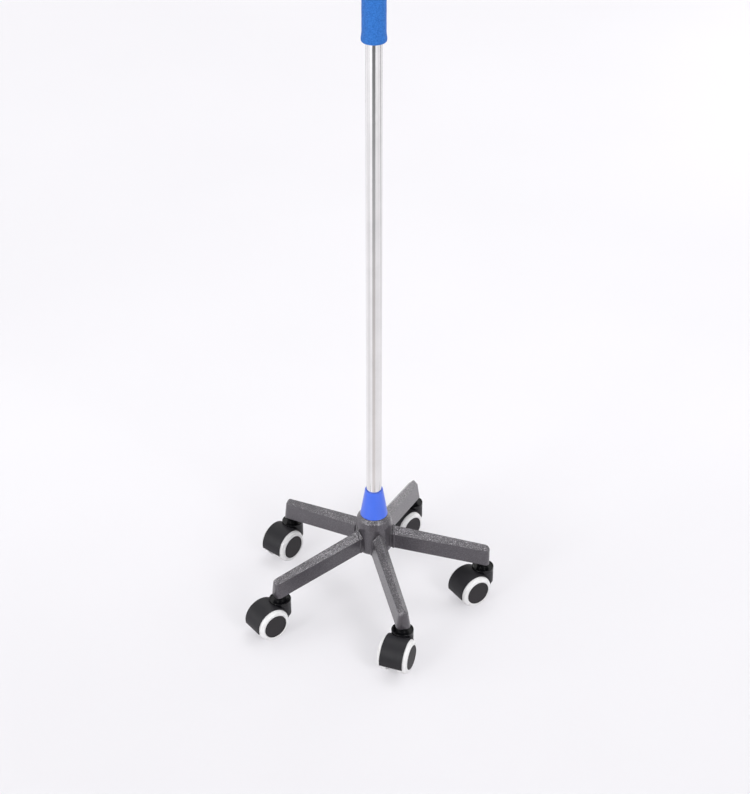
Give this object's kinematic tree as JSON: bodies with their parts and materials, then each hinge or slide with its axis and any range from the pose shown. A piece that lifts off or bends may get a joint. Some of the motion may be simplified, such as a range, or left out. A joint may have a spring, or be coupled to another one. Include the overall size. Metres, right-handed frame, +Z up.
{
  "type": "infusion stand",
  "caption": "Wheeled infusion stand: star base on swivelling twin-wheel casters, conical cover, steel column with foam grip, and a clamped sliding rod with bag hooks.",
  "frame": {"origin": "on the floor, under the middle of the overall bounding box; the column's axis is 5.3 mm towards +X and 24.2 mm towards +Y of it", "axes": "+Z up along the column, -Y towards the viewer of the picture, +X to the viewer's right"},
  "size_m": [0.4233, 0.4367, 1.4886],
  "materials": {
    "leg_paint": "dark grey hammertone paint, fine speckle",
    "blue_plastic": "smooth royal-blue plastic",
    "blue_foam": "pebbled blue foam rubber",
    "black_nylon": "satin black nylon",
    "black_gloss": "glossy black plastic",
    "white_tyre": "smooth white polyurethane",
    "stainless": "polished stainless steel",
    "zinc_steel": "zinc-plated steel",
    "natural_nylon": "uncoloured nylon"
  },
  "bodies": {
    "stand": {"base_hub": "leg_paint", "leg_1": "leg_paint", "leg_2": "leg_paint", "leg_3": "leg_paint", "leg_4": "leg_paint", "leg_5": "leg_paint", "caster_1_stem": "zinc_steel", "caster_2_stem": "zinc_steel", "caster_3_stem": "zinc_steel", "caster_4_stem": "zinc_steel", "caster_5_stem": "zinc_steel", "hub_cover": "blue_plastic", "outer_tube": "stainless", "column_bolt": "zinc_steel", "grip": "blue_foam", "clamp_collar": "blue_plastic"},
    "caster_1": {"caster_1_collar": "black_gloss", "caster_1_hood": "black_nylon", "caster_1_axle": "zinc_steel"},
    "caster_1_roller_a": {"caster_1_wheel_a": "black_nylon", "caster_1_tyre_a": "white_tyre"},
    "caster_1_roller_b": {"caster_1_wheel_b": "black_nylon", "caster_1_tyre_b": "white_tyre"},
    "caster_2": {"caster_2_collar": "black_gloss", "caster_2_hood": "black_nylon", "caster_2_axle": "zinc_steel"},
    "caster_2_roller_a": {"caster_2_wheel_a": "black_nylon", "caster_2_tyre_a": "white_tyre"},
    "caster_2_roller_b": {"caster_2_wheel_b": "black_nylon", "caster_2_tyre_b": "white_tyre"},
    "caster_3": {"caster_3_collar": "black_gloss", "caster_3_hood": "black_nylon", "caster_3_axle": "zinc_steel"},
    "caster_3_roller_a": {"caster_3_wheel_a": "black_nylon", "caster_3_tyre_a": "white_tyre"},
    "caster_3_roller_b": {"caster_3_wheel_b": "black_nylon", "caster_3_tyre_b": "white_tyre"},
    "caster_4": {"caster_4_collar": "black_gloss", "caster_4_hood": "black_nylon", "caster_4_axle": "zinc_steel"},
    "caster_4_roller_a": {"caster_4_wheel_a": "black_nylon", "caster_4_tyre_a": "white_tyre"},
    "caster_4_roller_b": {"caster_4_wheel_b": "black_nylon", "caster_4_tyre_b": "white_tyre"},
    "caster_5": {"caster_5_collar": "black_gloss", "caster_5_hood": "black_nylon", "caster_5_axle": "zinc_steel"},
    "caster_5_roller_a": {"caster_5_wheel_a": "black_nylon", "caster_5_tyre_a": "white_tyre"},
    "caster_5_roller_b": {"caster_5_wheel_b": "black_nylon", "caster_5_tyre_b": "white_tyre"},
    "mast": {"sliding_rod": "stainless", "rod_guide": "natural_nylon", "hook_boss": "stainless", "hook_1": "stainless", "hook_2": "stainless", "hook_3": "stainless", "hook_4": "stainless"},
    "clamp_pad": {"clamp_pad": "natural_nylon"},
    "clamp_knob": {"clamp_knob": "black_nylon"}
  },
  "joints": [
    {"name": "caster_1_swivel", "type": "hinge", "parent": "stand", "child": "caster_1", "pos_m": [0.05237, -0.15781, 0.06], "axis": [0, 0, 1], "continuous": true},
    {"name": "caster_1_spin_a", "type": "hinge", "parent": "caster_1", "child": "caster_1_roller_a", "pos_m": [0.0427, -0.18302, 0.029], "axis": [0.9336, -0.3584, 0], "continuous": true},
    {"name": "caster_1_spin_b", "type": "hinge", "parent": "caster_1", "child": "caster_1_roller_b", "pos_m": [0.0427, -0.18302, 0.029], "axis": [0.9336, -0.3584, 0], "continuous": true},
    {"name": "caster_2_swivel", "type": "hinge", "parent": "stand", "child": "caster_2", "pos_m": [0.19295, 0.01272, 0.06], "axis": [0, 0, 1], "continuous": true},
    {"name": "caster_2_spin_a", "type": "hinge", "parent": "caster_2", "child": "caster_2_roller_a", "pos_m": [0.17031, -0.00198, 0.029], "axis": [0.5446, -0.8387, 0], "continuous": true},
    {"name": "caster_2_spin_b", "type": "hinge", "parent": "caster_2", "child": "caster_2_roller_b", "pos_m": [0.17031, -0.00198, 0.029], "axis": [0.5446, -0.8387, 0], "continuous": true},
    {"name": "caster_3_swivel", "type": "hinge", "parent": "stand", "child": "caster_3", "pos_m": [0.0742, 0.19912, 0.06], "axis": [0, 0, 1], "continuous": true},
    {"name": "caster_3_spin_a", "type": "hinge", "parent": "caster_3", "child": "caster_3_roller_a", "pos_m": [0.05545, 0.1797, 0.029], "axis": [0.7193, -0.6947, 0], "continuous": true},
    {"name": "caster_3_spin_b", "type": "hinge", "parent": "caster_3", "child": "caster_3_roller_b", "pos_m": [0.05545, 0.1797, 0.029], "axis": [0.7193, -0.6947, 0], "continuous": true},
    {"name": "caster_4_swivel", "type": "hinge", "parent": "stand", "child": "caster_4", "pos_m": [-0.13977, 0.14378, 0.06], "axis": [0, 0, 1], "continuous": true},
    {"name": "caster_4_spin_a", "type": "hinge", "parent": "caster_4", "child": "caster_4_roller_a", "pos_m": [-0.15748, 0.12341, 0.029], "axis": [0.7547, -0.6561, 0], "continuous": true},
    {"name": "caster_4_spin_b", "type": "hinge", "parent": "caster_4", "child": "caster_4_roller_b", "pos_m": [-0.15748, 0.12341, 0.029], "axis": [0.7547, -0.6561, 0], "continuous": true},
    {"name": "caster_5_swivel", "type": "hinge", "parent": "stand", "child": "caster_5", "pos_m": [-0.15326, -0.07681, 0.06], "axis": [0, 0, 1], "continuous": true},
    {"name": "caster_5_spin_a", "type": "hinge", "parent": "caster_5", "child": "caster_5_roller_a", "pos_m": [-0.1751, -0.09268, 0.029], "axis": [0.5878, -0.809, 0], "continuous": true},
    {"name": "caster_5_spin_b", "type": "hinge", "parent": "caster_5", "child": "caster_5_roller_b", "pos_m": [-0.1751, -0.09268, 0.029], "axis": [0.5878, -0.809, 0], "continuous": true},
    {"name": "mast_slide", "type": "slide", "parent": "stand", "child": "mast", "axis": [0, 0, 1], "range_m": [-0.25, 0.5]},
    {"name": "clamp_pad_slide", "type": "slide", "parent": "stand", "child": "clamp_pad", "axis": [1, 0, 0], "range_m": [0, 0.00125]},
    {"name": "clamp_knob_turn", "type": "hinge", "parent": "clamp_pad", "child": "clamp_knob", "pos_m": [0.0453, 0.0242, 1.184], "axis": [1, 0, 0], "range_deg": [0, 361]}
  ],
  "couplings": [
    {"joint": "clamp_knob_turn", "follows": "clamp_pad_slide", "rad_per_m": 5026.5}
  ]
}
